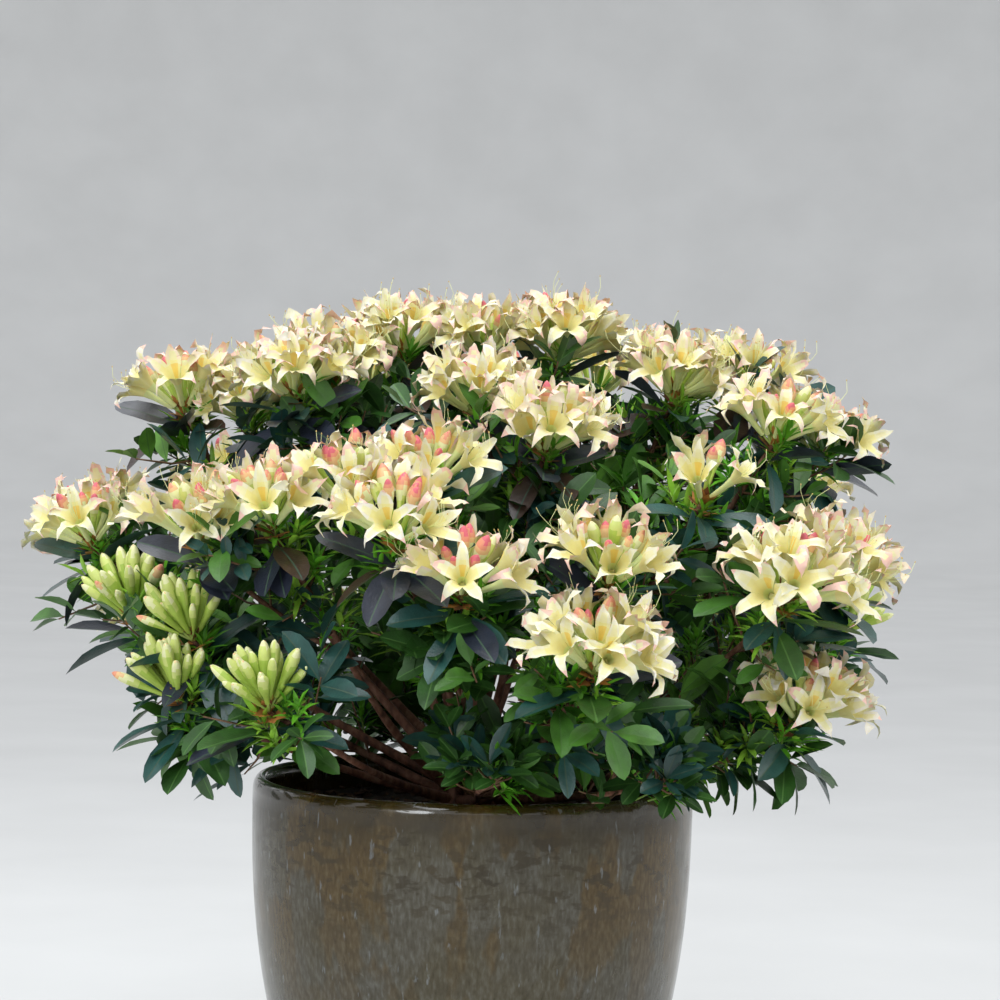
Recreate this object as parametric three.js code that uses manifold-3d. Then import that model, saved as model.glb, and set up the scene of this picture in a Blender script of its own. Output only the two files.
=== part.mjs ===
// A potted deciduous azalea in bloom: a round glazed planter filled with compost, a low woody root
// crown that forks into many slender boughs, and a mass of flower heads and leaves on each bough.
// Millimetres, +Z up, origin at the middle of the planter's flat underside. The viewer stands at -Y,
// so +X is the right of the picture, and a bearing of 0 degrees faces the viewer and 90 the right.
import * as THREE from "three";
import { mergeVertices } from "three/addons/utils/BufferGeometryUtils.js";
import Module from "manifold-3d";

const wasm = await Module();
wasm.setup();

// Planter and compost
const POT_HEIGHT = 310;
const POT_RIM_RADIUS = 170;
const POT_TAPER = 64; // how much narrower the foot is than the rim, as a radius
const POT_TAPER_POWER = 2.63; // the side is nearly upright at the rim and curves in below
const POT_WALL = 12;
const POT_FLOOR = 16;
const POT_FOOT_BEVEL = 3;
const POT_SEGMENTS = 32;
const POT_SIDE_STEPS = 6;
const POT_LIP_STEPS = 3;
const SOIL_DEPTH_BELOW_RIM = 25;
const CLEARANCE = 0.3; // between pieces that touch
const SOIL_TOP = POT_HEIGHT - SOIL_DEPTH_BELOW_RIM;

// Root crown
const TRUNK_HEIGHT = 42;
const TRUNK_FOOT_RADIUS = 31;
const TRUNK_WAIST_RADIUS = 20;
const TRUNK_LEAN = 4; // how far the top stands off the middle
const TRUNK_SEGMENTS = 10;
const PRONG_LENGTH = 12; // the stub that each bough continues

// Boughs and twigs
const BOUGH_FOOT_RADIUS = 4.4;
const BOUGH_TIP_RADIUS = 2.7;
const BOUGH_SIDES = 4;
const BOUGH_STEPS = 4;
const BOUGH_WAVE = 4; // a stem swings this far to each side of its curve
const BOUGH_SHARE = 0.42; // of the way to the flower head; the rest lies inside the mass
const STEM_TIP_RADIUS = 2.2;
const STEM_STEPS = 3;
const TWIG_RADIUS = 2.6; // a three-sided twig is only half as deep as this
const TWIG_SIDES = 3;

// Flower heads
const HEAD_RISE = 32; // from a head's foot to its middle
const HEAD_TILT = 0.4; // how far a head leans outward from upright
const CORE_RADIUS = 8; // the bud scales that the flowers leave, and the node of the leaves below
const CORE_ABOVE = 8;
const CORE_BELOW = 20;
const WHORL_BELOW = 9; // from a head's foot down to the leaves
const LOWER_FLOWERS = 5;
const LOWER_ANGLE = 60; // degrees from the head's axis
const UPPER_FLOWERS = 2;
const UPPER_ANGLE = 24;
const CLOSED_ANGLE = 56; // of the lower ring of a head that is still in bud
const FLOWER_LENGTH = 54;
const FLOWER_RADIUS = 22;
const FLOWER_THROAT_DEPTH = 12;
const FLOWER_TUBE_LENGTH = 26;
const TUBE_RADIUS = 4.5;
const PETALS = 5;
const BUD_LENGTH = 48;
const BUD_RADIUS = 6;

// Leaves
const LEAF_LENGTH = 80;
const LEAF_WIDTH = 29;
const LEAF_THICKNESS = 2;
const LEAF_ROLL = 35; // degrees that a blade may turn to either side
const LOWEST_TIP = 292; // no leaf hangs below this, just under the planter's rim
const LOWEST_SKIRT_TIP = 314; // the low leafy masses in front stay just above the rim
const LEAF_SUNK = 1; // from the twig's middle to the root of the leaf, on the far side
const WHORL_LEAVES = 5;
const SHOOT_LEAVES = 4;
const LEAF_STEP = 7; // between leaves along a side shoot
const SHOOTS = 1; // leafy side shoots of a mass
const SHOOT_LENGTH = 62;
const SHOOT_LEAF_SIZE = 0.85;
const STEM_LEAVES = 7; // on the stem itself; each stands for a small spray, and is larger than life
const STEM_LEAF_SIZE = 1.35;
const STEM_LEAF_BREADTH = 1.25;
const GOLDEN_TURN = 137.5;
const SPACE_MARGIN = 0.5; // each mass stays this far inside its own space
const SIZES = [1, 0.85, 0.7]; // a flower or leaf short of room is tried smaller, and then left out
const ROOT_OVERLAP = 0.3; // cubic mm that two flowers or leaves may share, where they leave the twig

const FOCUS_HEIGHT = 340; // the crown spreads from this point on the axis
const UP = new THREE.Vector3(0, 0, 1);

// The masses of foliage: name; bearing in degrees, reach from the axis and height above the ground in
// mm of the first flower head, or of the leafy tip of a mass in leaf; tier, where 0 is the lowest ring
// of boughs on the root crown; stage of the flowers; and for each further head its clock direction,
// seen from outside, where 0 is to the right and 90 is up, and how far off it stands.
const MASSES = [
  ["left_end", -86, 309, 512, 1, "open", [180, 92]],
  ["left_low", -55, 275, 406, 0, "bud", [85, 46], [150, 108]],
  ["left_high", -97, 243, 617, 2, "open"],
  ["left_inner", -39, 242, 535, 1, "open", [197, 66]],
  ["front_left_low", -32, 282, 408, 0, "bud"],
  ["front_upper_left", -11, 192, 566, 2, "open", [200, 60]],
  ["front_mid_left", -2, 271, 493, 1, "open", [140, 64]],
  ["front_mid_right", 20, 278, 502, 1, "open"],
  ["front_low", 16, 309, 444, 0, "full"],
  ["front_top", 20, 145, 593, 3, "full", [125, 67]],
  ["right_inner", 45, 237, 559, 1, "few"],
  ["right_high", 71, 240, 602, 2, "open", [350, 104], [35, 100]],
  ["right_end", 61, 304, 499, 1, "full", [185, 96]],
  ["right_low", 55, 300, 401, 0, "full"],
  ["top_left", -93, 118, 640, 3, "full", [250, 84], [335, 64]],
  ["top_middle", 180, 34, 664, 4, "full", [0, 66], [180, 64]],
  ["top_right", 82, 154, 636, 3, "full", [0, 92]],
  ["skirt_middle", 4, 225, 358, 0, "leaf"],
  ["skirt_right", 33, 258, 358, 0, "leaf"],
  ["back_top_right", 150, 190, 634, 3, "open", [350, 92]],
  ["back_top_left", -148, 186, 632, 3, "full", [190, 92]],
  ["back_right_high", 116, 286, 545, 2, "open", [330, 92]],
  ["back_left_high", -130, 274, 545, 2, "open", [200, 92]],
  ["back_middle", 172, 264, 533, 1, "open"],
  ["right_back_low", 103, 312, 450, 0, "bud"],
  ["back_right_low", 142, 287, 437, 0, "full", [10, 92]],
  ["back_left_low", -158, 282, 425, 0, "bud"],
  ["left_back_low", -112, 290, 441, 0, "open", [160, 92]],
].map(([name, bearing, reach, height, tier, stage, ...further]) => {
  return { name, bearing, reach, height, tier, stage, further };
});
const TIER_START_HEIGHT = [9, 17, 26, 34, 40]; // above the compost, on the root crown
const TIER_START_RADIUS = [24, 20, 16, 11, 3];

const radians = (degrees) => (degrees * Math.PI) / 180;

function facing(bearing) {
  return new THREE.Vector3(Math.sin(radians(bearing)), -Math.cos(radians(bearing)), 0);
}

// A repeatable stream of numbers from 0 to 1.
function seeded(seed) {
  let state = seed * 7919 + 17;
  return () => {
    state = (state * 16807) % 2147483647;
    return state / 2147483647;
  };
}

// Two directions across an axis, at right angles to each other.
function across(axis) {
  const helper = Math.abs(axis.z) > 0.9 ? new THREE.Vector3(1, 0, 0) : UP;
  const first = new THREE.Vector3().crossVectors(helper, axis).normalize();
  const second = new THREE.Vector3().crossVectors(axis, first);
  return [first, second];
}

// The direction that leaves an axis at an angle, turned round the axis.
function leaving(axis, angle, turn) {
  const [first, second] = across(axis);
  return axis
    .clone()
    .multiplyScalar(Math.cos(radians(angle)))
    .addScaledVector(first, Math.sin(radians(angle)) * Math.cos(radians(turn)))
    .addScaledVector(second, Math.sin(radians(angle)) * Math.sin(radians(turn)));
}

function solidOf(geometry) {
  const bare = new THREE.BufferGeometry();
  bare.setAttribute("position", geometry.getAttribute("position").clone());
  if (geometry.index) bare.setIndex(geometry.index.clone());
  const merged = mergeVertices(bare, 1e-4);
  return new wasm.Manifold(
    new wasm.Mesh({
      numProp: 3,
      vertProperties: merged.attributes.position.array,
      triVerts: new Uint32Array(merged.index.array),
    }),
  );
}

function geometryOf(solid) {
  const mesh = solid.getMesh();
  const geometry = new THREE.BufferGeometry();
  geometry.setAttribute("position", new THREE.BufferAttribute(new Float32Array(mesh.vertProperties), 3));
  geometry.setIndex(new THREE.BufferAttribute(new Uint32Array(mesh.triVerts), 1));
  geometry.computeVertexNormals();
  return geometry;
}

// One closed body from overlapping ones: sealed hollows are filled and loose scraps dropped.
function fused(solids) {
  const bodies = wasm.Manifold.union(solids).decompose();
  return bodies.reduce((best, body) => (body.volume() > best.volume() ? body : best));
}

// A round limb through the given points, with a flat face at each end.
function limb(points, radiusAt, sides) {
  const rings = points.map((point, i) => {
    const before = points[Math.max(i - 1, 0)];
    const after = points[Math.min(i + 1, points.length - 1)];
    const [first, second] = across(after.clone().sub(before).normalize());
    const radius = radiusAt(i / (points.length - 1));
    return Array.from({ length: sides }, (_, k) => {
      const turn = (2 * Math.PI * k) / sides;
      return point
        .clone()
        .addScaledVector(first, radius * Math.cos(turn))
        .addScaledVector(second, radius * Math.sin(turn));
    });
  });
  const corners = rings.flat();
  const faces = [];
  for (let i = 0; i + 1 < rings.length; i++) {
    for (let k = 0; k < sides; k++) {
      const next = (k + 1) % sides;
      const [a, b, c, d] = [i * sides + k, i * sides + next, (i + 1) * sides + next, (i + 1) * sides + k];
      faces.push(a, b, c, a, c, d);
    }
  }
  const last = (rings.length - 1) * sides;
  for (let k = 1; k + 1 < sides; k++) {
    faces.push(0, k + 1, k, last, last + k, last + k + 1);
  }
  return new THREE.BufferGeometry().setFromPoints(corners).setIndex(faces);
}

// Places a shape made along +X, with its upper side to +Z.
function placed(corners, faces, root, along, upper) {
  const x = along.clone().normalize();
  const y = new THREE.Vector3().crossVectors(upper, x).normalize();
  const z = new THREE.Vector3().crossVectors(x, y);
  const matrix = new THREE.Matrix4().makeBasis(x, y, z).setPosition(root);
  const points = corners.map(([a, b, c]) => new THREE.Vector3(a, b, c));
  return solidOf(new THREE.BufferGeometry().setFromPoints(points).setIndex(faces).applyMatrix4(matrix));
}

// A leaf: from a point sunk in the twig it widens to a blade, folded to a keel from root to tip.
function leaf(root, along, upper, length, width) {
  const wide = 0.56 * length;
  const corners = [
    [0, 0, -LEAF_THICKNESS / 2],
    [wide, width / 2, LEAF_THICKNESS / 2],
    [wide, -width / 2, LEAF_THICKNESS / 2],
    [length, 0, -LEAF_THICKNESS / 2],
  ];
  const faces = [0, 2, 1, 1, 2, 3, 0, 1, 3, 0, 3, 2];
  return placed(corners, faces, root, along, upper);
}

// An open flower: from a point sunk in the head's core, a three-sided tube that flares to the tips of
// the petals, round a sunken throat.
function flower(root, along, upper, size) {
  const length = FLOWER_LENGTH * size;
  const corners = [
    [0, 0, 0],
    [length - FLOWER_THROAT_DEPTH, 0, 0],
  ];
  for (let k = 0; k < 3; k++) {
    const turn = (2 * Math.PI * k) / 3;
    corners.push([FLOWER_TUBE_LENGTH * size, TUBE_RADIUS * Math.sin(turn), TUBE_RADIUS * Math.cos(turn)]);
  }
  for (let k = 0; k < PETALS; k++) {
    const turn = (2 * Math.PI * k) / PETALS;
    const radius = FLOWER_RADIUS * size;
    corners.push([length, radius * Math.sin(turn), radius * Math.cos(turn)]);
  }
  const faces = [0, 2, 3, 0, 3, 4, 0, 4, 2];
  const tubeCorner = (k) => 2 + (Math.round((3 * (k + 0.5)) / PETALS) % 3);
  for (let k = 0; k < PETALS; k++) {
    const here = 5 + k;
    const next = 5 + ((k + 1) % PETALS);
    faces.push(1, next, here, tubeCorner(k), here, next);
    if (tubeCorner(k) !== tubeCorner(k + 1)) faces.push(tubeCorner(k), next, tubeCorner(k + 1));
  }
  return placed(corners, faces, root, along, upper);
}

// A closed bud: a slim three-sided club, widest near its tip.
function bud(root, along, upper, size) {
  const corners = [
    [0, 0, 0],
    [BUD_LENGTH * size, 0, 0],
  ];
  for (let k = 0; k < 3; k++) {
    const turn = (2 * Math.PI * k) / 3;
    corners.push([0.68 * BUD_LENGTH * size, BUD_RADIUS * Math.sin(turn), BUD_RADIUS * Math.cos(turn)]);
  }
  const faces = [0, 2, 3, 0, 3, 4, 0, 4, 2, 1, 3, 2, 1, 4, 3, 1, 2, 4];
  return placed(corners, faces, root, along, upper);
}

// The flower heads of a mass: the middle of each, the way it faces and the foot that its flowers leave.
function headsOf(mass) {
  const middle = facing(mass.bearing).multiplyScalar(mass.reach).setZ(mass.height);
  const focus = new THREE.Vector3(0, 0, FOCUS_HEIGHT);
  const outward = middle.clone().sub(focus).normalize();
  const right = new THREE.Vector3().crossVectors(UP, outward).normalize();
  const rise = new THREE.Vector3().crossVectors(outward, right);
  return [[0, 0], ...mass.further].map(([clock, shift]) => {
    const turn = radians(clock);
    const at = middle
      .clone()
      .addScaledVector(right, shift * Math.cos(turn))
      .addScaledVector(rise, shift * Math.sin(turn));
    const outwards = at.clone().sub(focus).normalize();
    const axis = outwards.multiplyScalar(HEAD_TILT).addScaledVector(UP, 1 - HEAD_TILT).normalize();
    return { at, axis, foot: at.clone().addScaledVector(axis, -HEAD_RISE) };
  });
}

// The route of a mass's main stem, from the root crown to the foot of its first head. Boughs of one
// tier leave the root crown evenly spaced, in the order of their bearings.
function stemRoute(mass) {
  const tier = MASSES.filter((other) => other.tier === mass.tier).sort((a, b) => a.bearing - b.bearing);
  const spacing = 360 / tier.length;
  const turn = tier.reduce((sum, other, i) => sum + other.bearing - spacing * i, 0) / tier.length;
  const startBearing = turn + spacing * tier.indexOf(mass);
  const start = facing(startBearing).multiplyScalar(TIER_START_RADIUS[mass.tier]);
  start.z = SOIL_TOP + TIER_START_HEIGHT[mass.tier];
  const end = headsOf(mass)[0].foot;
  const bend = new THREE.Vector3(
    start.x + 0.55 * (end.x - start.x),
    start.y + 0.55 * (end.y - start.y),
    start.z + 0.4 * (end.z - start.z),
  );
  const curve = new THREE.QuadraticBezierCurve3(start, bend, end);
  const [side] = across(end.clone().sub(start).normalize());
  return (share) =>
    curve
      .getPoint(share)
      .addScaledVector(side, BOUGH_WAVE * Math.sin(2 * Math.PI * share) * (mass.bearing > 0 ? 1 : -1));
}

function alongRoute(route, from, to, steps) {
  return Array.from({ length: steps + 1 }, (_, i) => route(from + ((to - from) * i) / steps));
}

// Whether a point lies in the mass's own space: nearer to its heads than to any other mass's.
function inOwnSpace(point, own, others) {
  const nearest = own.reduce((a, b) => (point.distanceTo(a) < point.distanceTo(b) ? a : b));
  return others.every((other) => {
    const lead = point.distanceToSquared(other) - point.distanceToSquared(nearest);
    return lead / (2 * nearest.distanceTo(other)) > SPACE_MARGIN;
  });
}

function cornersOf(solid) {
  const places = solid.getMesh().vertProperties;
  return Array.from({ length: places.length / 3 }, (_, i) => new THREE.Vector3().fromArray(places, 3 * i));
}

function potRadius(height) {
  return POT_RIM_RADIUS - POT_TAPER * ((POT_HEIGHT - height) / POT_HEIGHT) ** POT_TAPER_POWER;
}

function lathe(profile, segments) {
  const turned = new THREE.LatheGeometry(profile, segments);
  turned.rotateX(Math.PI / 2);
  return turned;
}

function planter() {
  const lip = POT_WALL / 2;
  const profile = [new THREE.Vector2(0, 0), new THREE.Vector2(potRadius(0) - POT_FOOT_BEVEL, 0)];
  for (let i = 0; i <= POT_SIDE_STEPS; i++) {
    const height = POT_FOOT_BEVEL + ((POT_HEIGHT - lip - POT_FOOT_BEVEL) * i) / POT_SIDE_STEPS;
    profile.push(new THREE.Vector2(potRadius(height), height));
  }
  for (let i = 1; i < POT_LIP_STEPS; i++) {
    const turn = (Math.PI * i) / POT_LIP_STEPS;
    const middle = POT_RIM_RADIUS - lip;
    profile.push(new THREE.Vector2(middle + lip * Math.cos(turn), POT_HEIGHT - lip + lip * Math.sin(turn)));
  }
  for (let i = 0; i <= POT_SIDE_STEPS - 2; i++) {
    const height = POT_HEIGHT - lip + ((POT_FLOOR - POT_HEIGHT + lip) * i) / (POT_SIDE_STEPS - 2);
    profile.push(new THREE.Vector2(potRadius(height) - POT_WALL, height));
  }
  profile.push(new THREE.Vector2(0, POT_FLOOR));
  return lathe(profile, POT_SEGMENTS);
}

function compost() {
  const bottom = POT_FLOOR + CLEARANCE;
  const profile = [new THREE.Vector2(0, bottom)];
  const lip = POT_WALL / 2;
  for (let i = POT_SIDE_STEPS - 2; i >= 0; i--) {
    const height = POT_HEIGHT - lip + ((POT_FLOOR - POT_HEIGHT + lip) * i) / (POT_SIDE_STEPS - 2);
    const clipped = Math.min(Math.max(height, bottom), SOIL_TOP);
    profile.push(new THREE.Vector2(potWallInside(clipped) - CLEARANCE, clipped));
  }
  profile.push(new THREE.Vector2(0, SOIL_TOP));
  return lathe(profile, POT_SEGMENTS);
}

// The inner wall as the planter's straight facets have it, between the heights of its profile.
function potWallInside(height) {
  const lip = POT_WALL / 2;
  const steps = POT_SIDE_STEPS - 2;
  const step = (POT_HEIGHT - lip - POT_FLOOR) / steps;
  const above = Math.min(Math.floor((height - POT_FLOOR) / step), steps - 1);
  const low = POT_FLOOR + above * step;
  const share = (height - low) / step;
  return (1 - share) * potRadius(low) + share * potRadius(low + step) - POT_WALL;
}

// The root crown: flared at the compost, leaning a little, with a stub for each bough.
function rootCrown(routes) {
  const foot = SOIL_TOP + CLEARANCE;
  const profile = [
    new THREE.Vector2(0, foot),
    new THREE.Vector2(TRUNK_FOOT_RADIUS, foot),
    new THREE.Vector2(TRUNK_WAIST_RADIUS, foot + TRUNK_HEIGHT * 0.35),
    new THREE.Vector2(TRUNK_WAIST_RADIUS * 0.8, foot + TRUNK_HEIGHT * 0.75),
    new THREE.Vector2(TRUNK_WAIST_RADIUS * 0.45, foot + TRUNK_HEIGHT),
    new THREE.Vector2(0, foot + TRUNK_HEIGHT * 1.06),
  ];
  const stump = lathe(profile, TRUNK_SEGMENTS);
  const places = stump.getAttribute("position");
  for (let i = 0; i < places.count; i++) {
    places.setX(i, places.getX(i) + (TRUNK_LEAN * (places.getZ(i) - foot)) / TRUNK_HEIGHT);
  }
  const prongs = routes.map((route) => {
    const start = route(0);
    const ahead = route(0.02).sub(start).normalize();
    const end = start.clone().addScaledVector(ahead, PRONG_LENGTH);
    const inside = start.clone().addScaledVector(ahead, -PRONG_LENGTH / 2);
    return solidOf(limb([inside, end], () => BOUGH_FOOT_RADIUS, BOUGH_SIDES));
  });
  return fused([solidOf(stump), ...prongs]);
}

// Where a bough begins: just past the end of its stub.
function boughStart(route) {
  const start = route(0);
  let share = 0;
  while (route(share).distanceTo(start) < PRONG_LENGTH + CLEARANCE) share += 0.0005;
  return share;
}

function bough(route) {
  const points = alongRoute(route, boughStart(route), BOUGH_SHARE, BOUGH_STEPS);
  const taper = (share) => BOUGH_FOOT_RADIUS + (BOUGH_TIP_RADIUS - BOUGH_FOOT_RADIUS) * share;
  return limb(points, taper, BOUGH_SIDES);
}

// The base of a flower head: four-sided, and drawn out to a point above and below.
function headCore({ foot, axis }) {
  const corners = [[CORE_ABOVE, 0, 0], [-CORE_BELOW, 0, 0]];
  for (let k = 0; k < 4; k++) {
    const turn = (Math.PI * k) / 2;
    corners.push([-WHORL_BELOW / 2, CORE_RADIUS * Math.sin(turn), CORE_RADIUS * Math.cos(turn)]);
  }
  const faces = [];
  for (let k = 0; k < 4; k++) {
    const next = (k + 1) % 4;
    faces.push(0, 2 + next, 2 + k, 1, 2 + k, 2 + next);
  }
  return placed(corners, faces, foot, axis, across(axis)[0]);
}

// The wood of a mass: its stem, which goes on from the bough, and a twig from low on the stem to each
// further head.
function massWood(mass) {
  const route = stemRoute(mass);
  const heads = headsOf(mass);
  const gap = CLEARANCE / route(BOUGH_SHARE).distanceTo(route(1));
  const stemPoints = alongRoute(route, BOUGH_SHARE + gap * 0.5, 1, STEM_STEPS);
  const stemRadius = (share) => BOUGH_TIP_RADIUS + (STEM_TIP_RADIUS - BOUGH_TIP_RADIUS) * share;
  const fork = route(BOUGH_SHARE + 0.15);
  return [
    solidOf(limb(stemPoints, stemRadius, BOUGH_SIDES)),
    ...heads.slice(1).map((head) => {
      const bend = fork.clone().lerp(head.foot, 0.6).addScaledVector(head.axis, -16);
      return solidOf(limb([fork, bend, head.foot], () => TWIG_RADIUS, TWIG_SIDES));
    }),
    ...heads.map(headCore),
  ];
}

// Everything on one bough past its tip, as one body: the wood, and the flowers, leaves and leafy side
// shoots that find room in the mass's own space, clear of the obstacles and of each other.
function growMass(mass, index, wood, obstacles, sites) {
  const route = stemRoute(mass);
  const heads = headsOf(mass);
  const own = heads.map((head) => head.foot);
  const others = sites.filter((site) => site.mass !== mass).map((site) => site.foot);
  const shoots = [];
  const blades = [];

  const lowest = mass.stage === "leaf" ? LOWEST_SKIRT_TIP : LOWEST_TIP;

  const fits = (solid) =>
    cornersOf(solid).every((corner) => corner.z > lowest && inOwnSpace(corner, own, others)) &&
    obstacles.every((other) => other.minGap(solid, 2 * CLEARANCE) > CLEARANCE) &&
    blades.every((other) => other.intersect(solid).volume() < ROOT_OVERLAP);

  const addBlade = (shapeOfSize) => {
    const blade = SIZES.map(shapeOfSize).find(fits);
    if (blade) blades.push(blade);
  };

  const addLeaf = (root, axis, angle, turn, size, breadth, random) => {
    const along = leaving(axis, angle, turn);
    const length = LEAF_LENGTH * size * (0.85 + 0.3 * random());
    const width = LEAF_WIDTH * size * breadth * (0.85 + 0.3 * random());
    const outward = root.clone().setZ(0).normalize();
    const roll = radians(LEAF_ROLL * (2 * random() - 1));
    const upper = UP.clone().add(outward).addScaledVector(across(along)[0], Math.tan(roll));
    const sunk = root.clone().addScaledVector(along, -LEAF_SUNK);
    addBlade((share) => leaf(sunk, along, upper, length * share, width * share));
  };

  // Flower heads, each over a whorl of leaves. The lower flowers open first.
  heads.forEach((head, i) => {
    const random = seeded(100 * index + i + 1);
    const addRing = (count, angle, shape) => {
      for (let k = 0; k < count; k++) {
        const along = leaving(head.axis, angle, (360 * (k + 0.3)) / count);
        addBlade((share) => shape(head.foot, along, head.axis, share));
      }
    };
    if (mass.stage === "few") {
      addRing(2, 30, bud);
    } else if (mass.stage === "bud") {
      addRing(LOWER_FLOWERS, CLOSED_ANGLE, bud);
      addRing(UPPER_FLOWERS, UPPER_ANGLE, bud);
    } else if (mass.stage === "open") {
      addRing(LOWER_FLOWERS, LOWER_ANGLE, flower);
      addRing(UPPER_FLOWERS, UPPER_ANGLE, bud);
    } else if (mass.stage === "full") {
      addRing(LOWER_FLOWERS, LOWER_ANGLE, flower);
      addRing(1, 1, flower);
    }
    const node = head.foot.clone().addScaledVector(head.axis, -WHORL_BELOW);
    for (let k = 0; k < WHORL_LEAVES; k++) {
      addLeaf(node, head.axis, 84 + 24 * random(), (360 * k) / WHORL_LEAVES + 24 * random(), 1, 1, random);
    }
  });

  // Leaves on the stem, and leafy side shoots.
  const leafy = seeded(100 * index + 40);
  for (let k = 0; k < STEM_LEAVES; k++) {
    const share = BOUGH_SHARE + (0.92 - BOUGH_SHARE) * ((k + 0.6) / STEM_LEAVES);
    const ahead = route(share + 0.02).sub(route(share)).normalize();
    const turn = GOLDEN_TURN * k + 50 * leafy();
    addLeaf(route(share), ahead, 55 + 30 * leafy(), turn, STEM_LEAF_SIZE, STEM_LEAF_BREADTH, leafy);
  }
  const shootCount = mass.stage === "leaf" ? SHOOTS + 3 : SHOOTS;
  for (let k = 0; k < shootCount; k++) {
    const random = seeded(100 * index + 50 + k);
    const share = BOUGH_SHARE + (1 - BOUGH_SHARE) * (0.15 + (0.6 * (k + random() * 0.5)) / shootCount);
    const root = route(share);
    const ahead = route(share + 0.02).sub(root).normalize();
    const along = leaving(ahead, 48 + 20 * random(), GOLDEN_TURN * k + 70 * random());
    const length = SHOOT_LENGTH * (0.75 + 0.5 * random());
    const tip = root.clone().addScaledVector(along, length).addScaledVector(UP, length * 0.2);
    const shoot = solidOf(limb([root, tip], () => TWIG_RADIUS, TWIG_SIDES));
    if (!fits(shoot)) continue;
    shoots.push(shoot);
    const axis = tip.clone().sub(root).normalize();
    for (let i = 0; i < SHOOT_LEAVES; i++) {
      const node = tip.clone().addScaledVector(axis, -TWIG_RADIUS - LEAF_STEP * i);
      addLeaf(node, axis, 30 + 12 * i + 10 * random(), GOLDEN_TURN * i, SHOOT_LEAF_SIZE, 1, random);
    }
  }
  return fused([...wood, ...shoots, ...blades]);
}

const GLAZE = new THREE.MeshStandardMaterial({ color: 0x6b5d48, roughness: 0.25, metalness: 0 });
const COMPOST = new THREE.MeshStandardMaterial({ color: 0x2b1d14, roughness: 0.95, metalness: 0 });
const BARK = new THREE.MeshStandardMaterial({ color: 0x6e4430, roughness: 0.8, metalness: 0 });
const FOLIAGE = new THREE.MeshStandardMaterial({ color: 0x39522f, roughness: 0.55, metalness: 0 });
const BLOOM = new THREE.MeshStandardMaterial({ color: 0xe9dda0, roughness: 0.6, metalness: 0 });

const plant = new THREE.Group();

function add(name, geometry, material) {
  const mesh = new THREE.Mesh(geometry, material);
  mesh.name = name;
  plant.add(mesh);
}

const routes = MASSES.map(stemRoute);
const sites = MASSES.flatMap((mass) => headsOf(mass).map((head) => ({ mass, foot: head.foot })));
const pot = planter();
const crown = rootCrown(routes);
const boughs = routes.map(bough);
const woods = MASSES.map(massWood);

add("planter", pot, GLAZE);
add("compost", compost(), COMPOST);
add("root_crown", geometryOf(crown), BARK);
MASSES.forEach((mass, i) => {
  const otherWoods = woods.filter((_, k) => k !== i).flat();
  const obstacles = [solidOf(pot), crown, ...boughs.map(solidOf), ...otherWoods];
  add(`bough_${mass.name}`, boughs[i], BARK);
  const material = mass.stage === "open" || mass.stage === "full" ? BLOOM : FOLIAGE;
  add(`mass_${mass.name}`, geometryOf(growMass(mass, i, woods[i], obstacles, sites)), material);
});

export default plant;
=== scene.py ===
"""A potted azalea in bloom: the finish of the planter, bark, leaves, flowers and buds.

The twigs, leaves and flowers grow by the rule of the part's source, in millimetres, from the same
named sizes, and go on from there to finer twigs. Everything rides on the part's one body.
"""

import math

import bpy
import numpy as np
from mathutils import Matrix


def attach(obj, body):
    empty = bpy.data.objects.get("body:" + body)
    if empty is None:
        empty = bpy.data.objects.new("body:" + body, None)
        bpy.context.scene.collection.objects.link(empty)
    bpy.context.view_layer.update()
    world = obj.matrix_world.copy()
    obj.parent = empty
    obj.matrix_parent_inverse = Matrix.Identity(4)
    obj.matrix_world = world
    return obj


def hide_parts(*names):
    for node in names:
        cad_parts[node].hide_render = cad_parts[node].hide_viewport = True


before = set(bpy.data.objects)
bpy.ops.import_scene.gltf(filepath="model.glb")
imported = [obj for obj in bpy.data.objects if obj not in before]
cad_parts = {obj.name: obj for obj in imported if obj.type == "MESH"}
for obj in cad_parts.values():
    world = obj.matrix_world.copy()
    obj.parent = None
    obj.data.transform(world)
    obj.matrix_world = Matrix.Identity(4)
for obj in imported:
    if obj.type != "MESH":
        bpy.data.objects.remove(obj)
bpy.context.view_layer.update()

MM = 0.001
UP = np.array((0.0, 0.0, 1.0))
GOLDEN_TURN = 137.5

# Planter, compost and root crown, as in the source
POT_HEIGHT = 310
POT_RIM_RADIUS = 170
POT_TAPER = 64
POT_TAPER_POWER = 2.63
POT_WALL = 12
POT_FLOOR = 16
POT_FOOT_BEVEL = 3
LIP_HEIGHT = 10
SOIL_TOP = POT_HEIGHT - 25
TRUNK_HEIGHT = 42
TRUNK_FOOT_RADIUS = 31
TRUNK_WAIST_RADIUS = 20

# Boughs and flower heads, as in the source
BOUGH_FOOT_RADIUS = 4.3
BOUGH_TIP_RADIUS = 2.6
STEM_TIP_RADIUS = 1.9
BOUGH_WAVE = 4
BOUGH_SHARE = 0.42
HEAD_RISE = 32
HEAD_TILT = 0.4
WHORL_BELOW = 9
FOCUS_HEIGHT = 340
BEND_SHARES = np.array((0.55, 0.55, 0.4))
# How far along its stem a mass starts to bear leaves, and where the last spray stands
BARE_SHARE = {"left_low": 0.74, "front_left_low": 0.8, "front_mid_left": 0.4, "left_inner": 0.44}
BARE_SHARE_FRONT = BOUGH_SHARE * 0.75
BARE_SHARE_BACK = 0.2
LAST_SPRAY_SHARE = 0.9
TIER_START_HEIGHT = (9, 17, 26, 34, 40)
TIER_START_RADIUS = (24, 20, 16, 11, 3)
SPRAYS = 38
SIDE_STEM_SPRAYS = 10
SPRAY_LEAVES = 7
WHORL_LEAVES = 9
HEAD_TUFTS = 4
HEAD_SCALES = 22
LOWEST_TIP = 288
LOWEST_SKIRT_TIP = 313
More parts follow.
